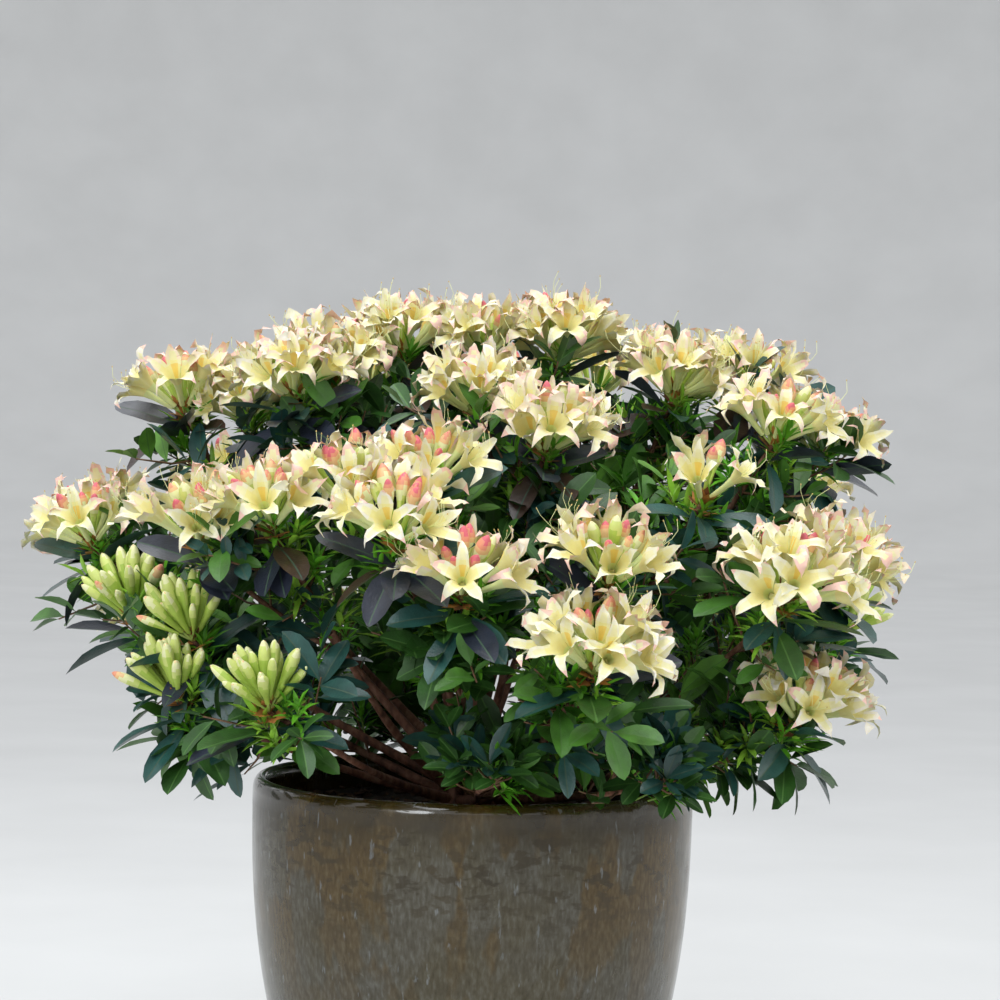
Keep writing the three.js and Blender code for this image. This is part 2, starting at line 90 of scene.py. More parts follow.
# Leaves keep this far above and outside the rim, and off the part of it that shows in front
RIM_CLEARANCE_ABOVE = 3
RIM_CLEARANCE = 4
RIM_IN_VIEW = 330
RIM_IN_VIEW_TO = 45
# Flowers and buds of a head in each stage, and how far from its axis the lowest ones lean, in degrees
FLOWERS_AND_BUDS = {"open": (9, 9), "full": (15, 5), "bud": (0, 23), "few": (3, 3)}
LOWEST_LEAN = {"open": 76, "full": 84, "bud": 60, "few": 76}
FLOWER_LIFT = 0.38

# The masses of foliage: name, bearing, reach, height, tier, stage, and the clock direction and distance
# of each further head from the first
MASSES = (
    ("left_end", -86, 309, 512, 1, "open", (180, 92)),
    ("left_low", -55, 275, 406, 0, "bud", (85, 46), (150, 108)),
    ("left_high", -97, 243, 617, 2, "open"),
    ("left_inner", -39, 242, 535, 1, "open", (197, 66)),
    ("front_left_low", -32, 282, 408, 0, "bud"),
    ("front_upper_left", -11, 192, 566, 2, "open", (200, 60)),
    ("front_mid_left", -2, 271, 493, 1, "open", (140, 64)),
    ("front_mid_right", 20, 278, 502, 1, "open"),
    ("front_low", 16, 309, 444, 0, "full"),
    ("front_top", 20, 145, 593, 3, "full", (125, 67)),
    ("right_inner", 45, 237, 559, 1, "few"),
    ("right_high", 71, 240, 602, 2, "open", (350, 104), (35, 100)),
    ("right_end", 61, 304, 499, 1, "full", (185, 96)),
    ("right_low", 55, 300, 401, 0, "full"),
    ("top_left", -93, 118, 640, 3, "full", (250, 84), (335, 64)),
    ("top_middle", 180, 34, 664, 4, "full", (0, 66), (180, 64)),
    ("top_right", 82, 154, 636, 3, "full", (0, 92)),
    ("skirt_middle", 4, 225, 358, 0, "leaf"),
    ("skirt_right", 33, 258, 358, 0, "leaf"),
    ("back_top_right", 150, 190, 634, 3, "open", (350, 92)),
    ("back_top_left", -148, 186, 632, 3, "full", (190, 92)),
    ("back_right_high", 116, 286, 545, 2, "open", (330, 92)),
    ("back_left_high", -130, 274, 545, 2, "open", (200, 92)),
    ("back_middle", 172, 264, 533, 1, "open"),
    ("right_back_low", 103, 312, 450, 0, "bud"),
    ("back_right_low", 142, 287, 437, 0, "full", (10, 92)),
    ("back_left_low", -158, 282, 425, 0, "bud"),
    ("left_back_low", -112, 290, 441, 0, "open", (160, 92)),
)

# Petals: distance along the flower, from its axis, and half width of each row from tube to tip
PETAL_ROWS = (
    (0, 2.0, 0),
    (16, 2.4, 0),
    (24, 3.7, 0),
    (30, 6.2, 0),
    (34.5, 8.8, 0),
    (37.8, 11.0, 5.4),
    (40.6, 13.9, 4.7),
    (42.4, 17.0, 3.5),
    (43.2, 20.0, 1.7),
)
PETAL_TIP = (43.0, 23.0)
TUBE_ROWS = 5
# Buds: distance along the bud and radius, of one that shows colour and of a green one
RIPE_ROWS = (
    (0, 1.6), (8, 1.9), (17, 2.3), (22, 3.0), (26, 4.2),
    (30, 5.0), (34, 5.2), (37.5, 4.6), (40.5, 3.5), (43, 1.8),
)
GREEN_ROWS = (
    (0, 1.6), (8, 1.9), (15, 2.4), (21, 3.1), (26, 3.7),
    (31, 4.0), (35, 3.9), (38.5, 3.4), (41.5, 2.6), (44, 1.5),
)
# Leaves: distance along the blade and half width of each row, as shares of its length and width
LEAF_ROWS = ((0, 0.05), (0.08, 0.12), (0.22, 0.56), (0.4, 0.9), (0.6, 1.0), (0.78, 0.85), (0.92, 0.48))


def unit(v):
    return v / np.linalg.norm(v)


def facing(bearing):
    turn = math.radians(bearing)
    return np.array((math.sin(turn), -math.cos(turn), 0.0))


def seeded(seed):
    """A repeatable stream of numbers from 0 to 1."""
    state = seed * 7919 + 17

    def draw():
        nonlocal state
        state = state * 16807 % 2147483647
        return state / 2147483647

    return draw


def across(axis):
    helper = np.array((1.0, 0.0, 0.0)) if abs(axis[2]) > 0.9 else UP
    first = unit(np.cross(helper, axis))
    return first, np.cross(axis, first)


def leaving(axis, angle, turn):
    """The direction that leaves an axis at an angle, turned round the axis."""
    first, second = across(axis)
    tilt, spin = math.radians(angle), math.radians(turn)
    return axis * math.cos(tilt) + (first * math.cos(spin) + second * math.sin(spin)) * math.sin(tilt)


def basis(along, upper):
    """Rows are the directions of +X, +Y and +Z of a shape made along +X with its upper side to +Z."""
    x = unit(along)
    y = np.cross(upper, x)
    if np.linalg.norm(y) < 1e-6:
        y = across(x)[0]
    y = unit(y)
    return np.array((x, y, np.cross(x, y)))


def heads_of(mass):
    """The foot of each flower head of a mass and the way it faces."""
    bearing, reach, height = mass[1:4]
    middle = facing(bearing) * reach + UP * height
    focus = UP * FOCUS_HEIGHT
    outward = unit(middle - focus)
    right = unit(np.cross(UP, outward))
    rise = np.cross(outward, right)
    found = []
    for clock, shift in ((0, 0), *mass[6:]):
        turn = math.radians(clock)
        at = middle + (right * math.cos(turn) + rise * math.sin(turn)) * shift
        axis = unit(unit(at - focus) * HEAD_TILT + UP * (1 - HEAD_TILT))
        found.append((at - axis * HEAD_RISE, axis))
    return found


def stem_route(mass):
    """The route of a mass's main stem, from the root crown to the foot of its first head."""
    bearing, tier = mass[1], mass[4]
    ring = sorted((m for m in MASSES if m[4] == tier), key=lambda m: m[1])
    spacing = 360 / len(ring)
    turn = sum(m[1] - spacing * i for i, m in enumerate(ring)) / len(ring)
    start = facing(turn + spacing * ring.index(mass)) * TIER_START_RADIUS[tier]
    start[2] = SOIL_TOP + TIER_START_HEIGHT[tier]
    end = heads_of(mass)[0][0]
    bend = start + BEND_SHARES * (end - start)
    side = across(unit(end - start))[0] * (BOUGH_WAVE if bearing > 0 else -BOUGH_WAVE)

    def at(share):
        rest = 1 - share
        curve = start * rest**2 + bend * 2 * rest * share + end * share**2
        return curve + side * math.sin(2 * math.pi * share)

    return at


def pot_radius(height):
    return POT_RIM_RADIUS - POT_TAPER * ((POT_HEIGHT - height) / POT_HEIGHT) ** POT_TAPER_POWER


class Batch:
    """Points and faces of one joined piece, with a material index for each face."""

    def __init__(self):
        self.points = []
        self.faces = []
        self.tints = []
        self.size = 0

    def add(self, points, faces, tints):
        self.points.append(points)
        self.faces.extend((faces[i] + self.size).tolist() for i in range(len(faces)))
        self.tints.extend([tints] * len(faces) if isinstance(tints, int) else tints)
        self.size += len(points)

    def triangles(self):
        return sum(len(face) - 2 for face in self.faces)


def grid(rows, columns, closed=False):
    """Faces of a grid of points; closed joins its last column to its first."""
    faces = []
    for i in range(rows - 1):
        for k in range(columns if closed else columns - 1):
            after = (k + 1) % columns
            row, above = i * columns, (i + 1) * columns
            faces.append(np.array((row + k, row + after, above + after, above + k)))
    return faces


def capped(faces, rows, columns, closed=False):
    """Adds the faces from the last row to one more point, the tip."""
    last = (rows - 1) * columns
    tip = rows * columns
    for k in range(columns if closed else columns - 1):
        faces.append(np.array((last + k, last + (k + 1) % columns, tip)))
    return faces


def tube(batch, path, radii, sides, tint, relief=None):
    """A limb along a path, closed at its far end. relief(i, k) swells a corner."""
    path = np.asarray(path)
    count = len(path)
    tangents = np.gradient(path, axis=0)
    first = across(unit(tangents[0]))[0]
    rings = []
    for i in range(count):
        along = unit(tangents[i])
        first = unit(first - along * np.dot(first, along))
        second = np.cross(along, first)
        for k in range(sides):
            turn = 2 * math.pi * k / sides
            radius = radii[i] * (1 + relief(i, k) if relief else 1)
            rings.append(path[i] + (first * math.cos(turn) + second * math.sin(turn)) * radius)
    rings.append(path[-1] + unit(tangents[-1]) * radii[-1] * 0.6)
    batch.add(np.array(rings), tube_faces(count, sides), tint)


TUBE_FACES = {}


def tube_faces(count, sides):
    if (count, sides) not in TUBE_FACES:
        TUBE_FACES[count, sides] = capped(grid(count, sides, True), count, sides, True)
    return TUBE_FACES[count, sides]


# Leaves: four points to a row, so that the midrib is a narrow strip of its own
LEAF_COLUMNS = 4
LEAF_FACES = capped(grid(len(LEAF_ROWS), LEAF_COLUMNS), len(LEAF_ROWS), LEAF_COLUMNS)
LEAF_IS_RIB = [i % (LEAF_COLUMNS - 1) == 1 for i in range(len(LEAF_FACES))]
LEAF_T = np.array([row[0] for row in LEAF_ROWS])
LEAF_W = np.array([row[1] for row in LEAF_ROWS])


def leaf(batch, root, along, upper, length, width, tint, rib, draw):
    """A blade folded along its midrib, that bows down to its tip, with a slightly waved edge."""
    fold = 0.12 + 0.3 * draw()
    bow = 0.02 + 0.2 * draw()
    wave = 0.02 * length * draw()
    phase = 6.3 * draw()
    half = 0.5 * width * LEAF_W
    strip = np.minimum(0.35 + 0.004 * length, half * 0.6)
    points = np.zeros((len(LEAF_ROWS), LEAF_COLUMNS, 3))
    for column, (edge, sign) in enumerate(((half, 1), (strip, 1), (strip, -1), (half, -1))):
        points[:, column, 0] = LEAF_T * length * (1 - 0.5 * bow * LEAF_T)
        points[:, column, 1] = edge * sign
        points[:, column, 2] = fold * edge - bow * length * LEAF_T**2
    ripple = wave * np.sin(9 * LEAF_T + phase) * LEAF_W
    points[:, 0, 2] += ripple
    points[:, 3, 2] -= ripple
    tip = np.array(((length * (1 - 0.5 * bow), 0, -bow * length),))
    shape = np.concatenate((points.reshape(-1, 3), tip))
    tints = [rib if is_rib else tint for is_rib in LEAF_IS_RIB]
    batch.add(root + shape @ basis(along, upper), LEAF_FACES, tints)


# Flowers: the tints of a petal, of which BODY stands for the flower's own
PETALS = 5
PETAL_COLUMNS = 5
PETAL_FACES = capped(grid(len(PETAL_ROWS), PETAL_COLUMNS), len(PETAL_ROWS), PETAL_COLUMNS)
CREAM, PALE, WARM, SOFT, YELLOW, BLOTCH, TUBE, BLUSH = range(8)
BODY = -1


def petal_tints(top, draw):
    """Tube and throat, a yellow middle that fades out along the petal, and a blushing tip."""
    edged = draw() < 0.3
    tints = []
    for i in range(len(PETAL_ROWS) - 1):
        for k in range(PETAL_COLUMNS - 1):
            middle = k in (1, 2)
            if i < 2:
                tints.append(TUBE)
            elif i < 4:
                tints.append(BLOTCH if top and middle else YELLOW)
            elif i == 4:
                tints.append(YELLOW if middle else SOFT)
            elif i < 7 and middle:
                tints.append(SOFT)
            else:
                tints.append(BLUSH if edged and i > 5 else BODY)
    return tints + [BLUSH if draw() < 0.6 else BODY] * (PETAL_COLUMNS - 1)


def petal(middle, reflex, top, draw):
    """One petal with its share of the tube. reflex bends it back, or forward where it is negative."""
    bent = math.radians(reflex + 50 * (draw() - 0.5))
    curl = math.radians(84 * draw() - 20)
    twist = 3 * (draw() - 0.5)
    long, wide = 0.86 + 0.26 * draw(), 0.78 + 0.3 * draw()
    ripple, phase = 0.8 + 1.3 * draw(), 6 * draw()
    pivot_x, pivot_r, _ = PETAL_ROWS[TUBE_ROWS - 1]
    free_rows = len(PETAL_ROWS) - TUBE_ROWS + 1
    points = []
    for i, (x, r, half) in enumerate(PETAL_ROWS + ((*PETAL_TIP, 0),)):
        past = max(i - TUBE_ROWS + 1, 0)
        lean = bent * (0.45 + 0.55 * past / free_rows) + curl * (past / free_rows) ** 3
        dx, dr = (x - pivot_x) * long, (r - pivot_r) * long
        if past:
            x = pivot_x + dx * math.cos(lean) - dr * math.sin(lean)
            r = pivot_r + dx * math.sin(lean) + dr * math.cos(lean)
        if i == len(PETAL_ROWS):
            points.append((x, r * math.cos(middle), r * math.sin(middle)))
            continue
        for k in range(PETAL_COLUMNS):
            u = 2 * k / (PETAL_COLUMNS - 1) - 1
            if not past:
                turn = middle + math.radians(36) * u
                fluted = r * (1 - 0.07 * u * u)
                points.append((x, fluted * math.cos(turn), fluted * math.sin(turn)))
                continue
            side = half * u * wide
            waved = ripple * u * u * math.sin(2.1 * i + phase + 1.4 * u)
            lift = 0.3 * half * (1 - abs(u)) - twist * u * past / 2 - waved
            points.append(
                (
                    x - lift,
                    r * math.cos(middle) - side * math.sin(middle),
                    r * math.sin(middle) + side * math.cos(middle),
                )
            )
    return points, petal_tints(top, draw)


def corolla_shape(seed, reflex):
    """The points, faces and tints of a whole flower along +X."""
    draw = seeded(seed)
    points, faces, tints = [], [], []
    for number in range(PETALS):
        middle = math.radians(90 + 360 / PETALS * number + 8 * (draw() - 0.5))
        more, colours = petal(middle, reflex, number == 0, draw)
        faces += [face + len(points) for face in PETAL_FACES]
        points += more
        tints += colours
    faces.append(np.arange(PETALS) + len(points))
    tints.append(YELLOW)
    throat_x, throat_r, _ = PETAL_ROWS[1]
    for number in range(PETALS):
        turn = math.radians(54 + 360 / PETALS * number)
        points.append((throat_x, throat_r * math.cos(turn), throat_r * math.sin(turn)))
    return np.array(points), faces, tints


# Wide open, part open and half open flowers, by how far their petals bend back
REFLEXES = (10, -12, -38)
VARIANTS = 8
COROLLAS = [[corolla_shape(10 * k + 3, reflex) for k in range(VARIANTS)] for reflex in REFLEXES]


def corolla(batch, root, along, upper, size, openness, body, draw):
    points, faces, tints = COROLLAS[openness][int((VARIANTS - 0.01) * draw())]
    stretched = points * (size * (0.95 + 0.1 * draw()), size, size)
    dealt = [body if tint == BODY else tint for tint in tints]
    batch.add(root + stretched @ basis(along, upper), faces, dealt)


FILAMENT, ANTHER = range(2)


def stamens(batch, root, along, upper, size, draw):
    """Five stamens and a longer style, which arch out of the throat and up."""
    turned = basis(along, upper)
    steps = np.linspace(0, 1, 5)
    for k in range(5):
        turn = math.radians(72 * k + 50 * draw())
        reach = 56 + 6 * draw() if k == 4 else 42 + 11 * draw()
        out = 1 + 6 * draw()
        rise = 4 + 14 * draw()
        path = np.zeros((5, 3))
        path[:, 0] = 27 + (reach - 27) * np.sin(1.35 * steps) / math.sin(1.35)
        path[:, 1] = out * math.cos(turn) * steps
        path[:, 2] = out * math.sin(turn) * steps - 6 * steps + rise * steps**3
        ends = root + path * size @ turned
        tube(batch, ends, (0.28, 0.26, 0.24, 0.22, 0.2), 3, FILAMENT)
        tip = unit(ends[-1] - ends[-2])
        tube(batch, (ends[-1], ends[-1] + tip * 1.1), (0.6, 0.36), 3, ANTHER)


BUD_SIDES = 8
BUD_LENGTH = 42
# The row of a bud's tints is green, yellow, cream, peach, coral and pink. Each span is where along it a
# bud starts and ends.
LAST_BUD_TINT = 5
GREEN_SPAN = (-1.2, 2.2)
PEACH_SPAN = (-1, 4.2)
PINK_SPAN = (-1, 5.6)


def bud(batch, root, along, upper, size, rows, girth, span, draw):
    """A closed bud, ribbed, pointed and a little bent.

    Its tints run from its foot to its tip, out of step from rib to rib.
    """
    bow = 4 * (draw() - 0.3)
    points = []
    for x, r in rows:
        bent = bow * (x / BUD_LENGTH) ** 2
        for k in range(BUD_SIDES):
            turn = 2 * math.pi * k / BUD_SIDES
            ribbed = r * girth * (1.1 if k % 2 else 0.9)
            points.append((x, ribbed * math.cos(turn), ribbed * math.sin(turn) + bent))
    points.append((rows[-1][0] + 1.5, 0, bow))
    steps = [1.1 * draw() for _ in range(BUD_SIDES)]
    dealt = []
    for i in range(len(rows)):
        for k in range(BUD_SIDES):
            place = span[0] + (span[1] - span[0]) * i / (len(rows) - 1) + steps[k]
            dealt.append(int(min(max(place, 0), LAST_BUD_TINT)))
    placed = root + np.array(points) * size @ basis(along, upper)
    batch.add(placed, tube_faces(len(rows), BUD_SIDES), dealt)


def scale_leaf(batch, root, along, upper, length, tint):
    """A small pointed scale, hollow to the stem."""
    points = np.array(
        ((0, 2, 0), (0, -2, 0), (0.5 * length, 3.4, 0.8), (0.5 * length, -3.4, 0.8), (length, 0, 1.8))
    )
    faces = [np.array((0, 1, 3, 2)), np.array((2, 3, 4))]
    batch.add(root + points @ basis(along, upper), faces, tint)


NARROW_FACES = [
    np.array(face)
    for face in ((0, 1, 2), (0, 2, 3), (1, 4, 5, 2), (2, 5, 6, 3), (4, 7, 5), (5, 7, 6))
]


def narrow_leaf(batch, root, along, upper, length, width, tint, draw):
    """A young leaf, folded along its middle, that bows a little back."""
    bow = 0.25 * draw() * length
    half, fold = width / 2, width * (0.15 + 0.2 * draw())
    points = [(0, 0, 0)]
    for share, wide in ((0.35, 0.9), (0.7, 0.75)):
        sag = bow * share * share
        points += [
            (share * length, half * wide, fold - sag),
            (share * length, 0, -sag),
            (share * length, -half * wide, fold - sag),
        ]
    points.append((length, 0, -bow))
    batch.add(root + np.array(points) @ basis(along, upper), NARROW_FACES, tint)


wood = Batch()
twigs = Batch()
dark_leaves = Batch()
green_leaves = Batch()
young_leaves = Batch()
petals = Batch()
anthers = Batch()
buds = Batch()
scales = Batch()

ROUTES = [stem_route(mass) for mass in MASSES]
HEADS = [heads_of(mass) for mass in MASSES]

# The tints of each piece, in the order of its materials
SLATE, BRONZE, BLUE_GREEN, DARK_RIB = range(4)
DEEP, MID, LIGHT, GREEN_RIB = range(4)
YOUNG_STEM, YOUNG_GREEN, YOUNG_YELLOW = range(3)
SCALE, STALK, BROWN_SCALE = range(3)
FILL, CHIP = range(2)
BARK = 0


def bough_relief(seed):
    draw = seeded(seed)
    lumps = [draw() for _ in range(64)]
    return lambda i, k: 0.16 * (lumps[(7 * i + 5 * k) % 64] - 0.5)


class Growth:
    """What grows on one bough, inside the space that is nearer to its own heads than to any other."""

    def __init__(self, index):
        self.name, self.bearing = MASSES[index][:2]
        self.stage = MASSES[index][5]
        self.index = index
        self.route = ROUTES[index]
        self.heads = HEADS[index]
        self.own = np.array([foot for foot, _ in self.heads])
        rest = HEADS[:index] + HEADS[index + 1 :]
        self.others = np.array([foot for heads in rest for foot, _ in heads])
        self.lowest = LOWEST_SKIRT_TIP if self.stage == "leaf" else LOWEST_TIP

    def fits(self, points, margin):
        """Whether points lie in the mass's own space, a margin inside it, and clear of the rim."""
        for point in points:
            if point[2] < self.lowest:
                return False
            radius = math.hypot(point[0], point[1])
            if point[2] < POT_HEIGHT + RIM_CLEARANCE_ABOVE and radius < POT_RIM_RADIUS + RIM_CLEARANCE:
                return False
            in_view = -POT_RIM_RADIUS < point[0] < RIM_IN_VIEW_TO and point[1] < 0
            if in_view and point[2] < RIM_IN_VIEW:
                return False
            gaps = np.linalg.norm(self.own - point, axis=1)
            nearest = self.own[gaps.argmin()]
            lead = np.sum((self.others - point) ** 2, axis=1) - gaps.min() ** 2
            if np.any(lead / (2 * np.linalg.norm(self.others - nearest, axis=1)) < margin):
                return False
        return True

    def leaf(self, root, along, length, width, kind, draw):
        """Adds a leaf where there is room, and says how many it added."""
        outward = unit(np.array((root[0], root[1], 1e-3)))
        roll = (2 * draw() - 1) * 0.5
        upper = UP + outward * 0.7 + across(along)[0] * roll
        tip = root + along * length
        if not self.fits((root + along * length * 0.6, tip), -4):
            return 0
        batch, tint, rib = kind
        leaf(batch, root, along, upper, length, width, tint, rib, draw)
        return 1

    def leaf_kind(self, height, whorl, draw):
        """The batch and tints of a leaf or spray: slate and bronze under upper heads, green inside."""
        pick = draw()
        if self.stage == "leaf" and pick > 0.25:
            return green_leaves, (LIGHT if pick < 0.3 else MID if pick < 0.6 else DEEP), GREEN_RIB
        if whorl and height > 470:
            tint = SLATE if pick < 0.42 else BRONZE if pick < 0.6 else BLUE_GREEN
            return dark_leaves, tint, DARK_RIB
        if whorl:
            tint = BLUE_GREEN if pick < 0.75 else SLATE
            return (green_leaves, DEEP, GREEN_RIB) if pick > 0.86 else (dark_leaves, tint, DARK_RIB)
        if pick < 0.2:
            return dark_leaves, BLUE_GREEN, DARK_RIB
        deep, mid = (0.62, 0.96) if height < 400 else (0.7, 0.96)
        return green_leaves, (DEEP if pick < deep else MID if pick < mid else LIGHT), GREEN_RIB

    def spray(self, root, along, length, leaves, size, draw):
        """A fine twig with leaves on its outer half, all of one tint, if any has room."""
        tip = root + along * length + UP * 0.12 * length
        if not self.fits((tip,), -2):
            return
        kind = self.leaf_kind(tip[2], False, draw)
        bend = root + along * length * 0.5
        axis = unit(tip - bend)
        grown = 0
        for i in range(leaves):
            share = i / leaves
            node = tip - axis * length * 0.5 * share
            direction = leaving(axis, 32 + 46 * share + 14 * draw(), GOLDEN_TURN * i + 20 * draw())
            reach = size * (0.7 + 0.5 * draw())
            grown += self.leaf(node, direction, reach, reach * (0.33 + 0.1 * draw()), kind, draw)
        if grown:
            tube(twigs, (root, bend, tip), (1.3, 1.0, 0.7), 3, BARK)

    def tuft(self, root, along, draw):
        """A young shoot: a soft stem with narrow upright leaves."""
        length = 12 + 20 * draw()
        tip = root + along * length
        if not self.fits((tip + along * 14,), -6):
            return
        tube(young_leaves, (root, tip), (0.9, 0.6), 3, YOUNG_STEM)
        count = 10 + int(7 * draw())
        tint = YOUNG_GREEN if draw() < 0.65 else YOUNG_YELLOW
        for i in range(count):
            node = root + (tip - root) * (0.3 + 0.7 * i / count)
            direction = leaving(along, 66 - 50 * i / count + 8 * draw(), GOLDEN_TURN * i)
            reach = 14 + 14 * draw()
            width = 3.4 + 2.4 * draw()
            narrow_leaf(young_leaves, node, direction, along + UP, reach, width, tint, draw)

    def truss(self, foot, axis, size, draw):
        """A head of flowers and buds over its scales. The lower flowers open first."""
        bodies = (PALE, WARM, WARM, CREAM) if foot[2] > 540 else (CREAM, PALE, CREAM, WARM)
        flowers, closed = FLOWERS_AND_BUDS[self.stage]
        total = flowers + closed
        widest = math.radians(LOWEST_LEAN[self.stage])
        for i in range(total):
            share = (i + 0.5) / total
            angle = math.degrees(math.acos(1 - share * (1 - math.cos(widest))))
            along = unit(leaving(axis, angle, GOLDEN_TURN * i + 22 * draw()) + UP * FLOWER_LIFT)
            along = leaving(along, (13 if self.stage == "bud" else 9) * draw(), 360 * draw())
            stalk = (9 + 5 * draw()) * size
            base = foot + along * stalk
            tube(scales, (foot, base), (1.0, 0.9), 4, STALK)
            if i >= closed:
                grown = size * (0.94 + 0.14 * draw())
                if not self.fits((base + along * 40 * grown,), -18):
                    continue
                openness = 0 if draw() < share * 0.8 else 1 if draw() < 0.65 else 2
                body = bodies[int(3.99 * draw())]
                corolla(petals, base, along, UP + axis, grown, openness, body, draw)
                if openness < 2 and draw() < 0.5:
                    stamens(anthers, base, along, UP + axis, grown, draw)
            elif self.stage == "bud":
                span = PEACH_SPAN if draw() < 0.08 else GREEN_SPAN
                grown = size * (0.64 + 0.34 * draw())
                bud(buds, base, along, UP, grown, GREEN_ROWS, 1.15, span, draw)
            else:
                span = PINK_SPAN if draw() < 0.6 else PEACH_SPAN if draw() < 0.6 else GREEN_SPAN
                grown = size * (0.68 + 0.32 * draw())
                bud(buds, base, along, UP, grown, RIPE_ROWS, 0.95, span, draw)
        for i in range(HEAD_SCALES):
            along = leaving(axis, 26 + 15 * (i % 5), GOLDEN_TURN * i)
            root = foot - axis * (2.4 * (i % 5) - 2) + along
            length = 11 + 7 * draw()
            scale_leaf(scales, root, along, -axis, length, SCALE if draw() < 0.8 else BROWN_SCALE)

    def wood(self, base):
        """The bough with the stem beyond it, and a leafy side stem to each further head."""
        shares = np.linspace(-0.04, 1, 26)
        path = [self.route(share) for share in shares]
        places = (-0.04, 0, BOUGH_SHARE, 1)
        radii = np.interp(shares, places, (5.4, BOUGH_FOOT_RADIUS, BOUGH_TIP_RADIUS, STEM_TIP_RADIUS))
        tube(wood, path, radii, 9, BARK, bough_relief(base))
        fork = self.route(BOUGH_SHARE + 0.15)
        draw = seeded(base + 3)
        for foot, axis in self.heads[1:]:
            bend = fork * 0.4 + foot * 0.6 - axis * 16
            steps = np.linspace(0, 1, 9)[:, None]
            arc = fork * (1 - steps) ** 2 + bend * 2 * steps * (1 - steps) + foot * steps**2
            tube(wood, arc, np.linspace(2.4, 1.8, 9), 7, BARK, bough_relief(base + 1))
            for k in range(SIDE_STEM_SPRAYS):
                place = 1 + int(6.99 * draw())
                along = leaving(unit(arc[place + 1] - arc[place]), 45 + 45 * draw(), GOLDEN_TURN * k)
                length = 24 + 44 * draw()
                self.spray(arc[place], along, length, SPRAY_LEAVES, 30 + 18 * draw(), draw)
                if k % 3 == 0:
                    self.tuft(arc[place] + along * 12, unit(along + UP * 0.9), draw)

    def head(self, foot, axis, draw):
        """A truss over its whorl of leaves, with young shoots below."""
        self.truss(foot, axis, 0.94 + 0.12 * draw(), draw)
        node = foot - axis * WHORL_BELOW
        for k in range(WHORL_LEAVES):
            root = node - axis * (9 * draw())
            droop = 40 if foot[2] < 430 and k % 2 else 0
            angle = 52 + 20 * draw() if k in (3, 7) else 78 + 42 * draw() + droop
            along = leaving(axis, angle, GOLDEN_TURN * k + 24 * draw())
            length = 50 + 24 * draw()
            kind = self.leaf_kind(foot[2], True, draw)
            self.leaf(root, along, length, length * (0.31 + 0.09 * draw()), kind, draw)
        for k in range(HEAD_TUFTS):
            along = unit(leaving(axis, 38 + 34 * draw(), 90 * k + 60 * draw()) + UP * 0.7)
            self.tuft(node - axis * (6 + 8 * k), along, draw)

    def grow(self):
        base = 1000 + 100 * self.index
        self.wood(base)
        draw = seeded(base + 2)
        if self.stage != "leaf":
            for foot, axis in self.heads:
                self.head(foot, axis, draw)
        usual = BARE_SHARE_BACK if abs(self.bearing) > 90 else BARE_SHARE_FRONT
        first = BARE_SHARE.get(self.name, usual)
        sprays = round(SPRAYS * (LAST_SPRAY_SHARE - first) / (LAST_SPRAY_SHARE - BARE_SHARE_FRONT))
        for k in range(sprays):
            share = first + (LAST_SPRAY_SHARE - first) * (k + draw()) / sprays
            node = self.route(share)
            ahead = unit(self.route(share + 0.02) - node)
            along = leaving(ahead, 42 + 40 * draw(), GOLDEN_TURN * k + 40 * draw())
            if k % 5 == 1 or (k % 2 and self.stage != "leaf"):
                self.tuft(node + along * 12, unit(along + UP * 0.9), draw)
            length = 20 + (56 if k % 4 == 0 else 40) * draw()
            self.spray(node, along, length, SPRAY_LEAVES, 28 + 17 * draw(), draw)
        if self.stage == "leaf":
            foot, axis = self.heads[0]
            for k in range(9):
                along = leaving(axis, 20 + 60 * draw(), GOLDEN_TURN * k)
                self.spray(foot, along, 22, SPRAY_LEAVES + 1, 30, draw)
            self.tuft(foot, leaving(axis, 10 + 30 * draw(), 60), draw)


for mass_index in range(len(MASSES)):
    Growth(mass_index).grow()


def lathe(batch, profile, segments, tint, relief):
    """Turns a profile of radius and height round the axis, from a point on it to another.

    relief(turn, radius, height) is how far the surface swells out there.
    """
    points = [(0, 0, profile[0][1])]
    for radius, height in profile[1:-1]:
        for k in range(segments):
            turn = 2 * math.pi * k / segments
            swollen = radius + relief(turn, radius, height)
            points.append((swollen * math.cos(turn), swollen * math.sin(turn), height))
    points.append((0, 0, profile[-1][1]))
    rows = len(profile) - 2
    last = 1 + (rows - 1) * segments
    faces = [face + 1 for face in grid(rows, segments, True)]
    for k in range(segments):
        after = (k + 1) % segments
        faces.append(np.array((0, 1 + after, 1 + k)))
        faces.append(np.array((last + k, last + after, rows * segments + 1)))
    batch.add(np.array(points), faces, tint)


def pot_profile():
    lip = POT_WALL / 2
    profile = [(0, 0), (60, 0), (pot_radius(0) - POT_FOOT_BEVEL, 0), (pot_radius(0) - 1, 1)]
    for height in np.linspace(POT_FOOT_BEVEL, POT_HEIGHT - LIP_HEIGHT, 34):
        profile.append((pot_radius(height), height))
    for k in range(1, 14):
        turn = math.pi * k / 14
        rise = LIP_HEIGHT * (math.sin(turn) - 1)
        profile.append((POT_RIM_RADIUS - lip + lip * math.cos(turn), POT_HEIGHT + rise))
    for height in np.linspace(POT_HEIGHT - LIP_HEIGHT, POT_FLOOR, 14):
        profile.append((pot_radius(height) - POT_WALL, height))
    profile.append((0, POT_FLOOR))
    return profile


def pot_relief(turn, radius, height):
    """The slight unevenness of a hand-turned pot."""
    return 0.35 * math.sin(2 * turn + 0.6) + 0.2 * math.sin(5 * turn + 0.02 * height)


def soil_relief(x, y):
    lumps = math.sin(x * 0.21 + 1.3) * math.cos(y * 0.17) + 0.6 * math.sin(x * 0.53 + y * 0.41)
    return 1.4 * lumps + 0.9 * math.sin(x * 1.1 - y * 0.9) * math.cos(y * 1.3 + x * 0.4)


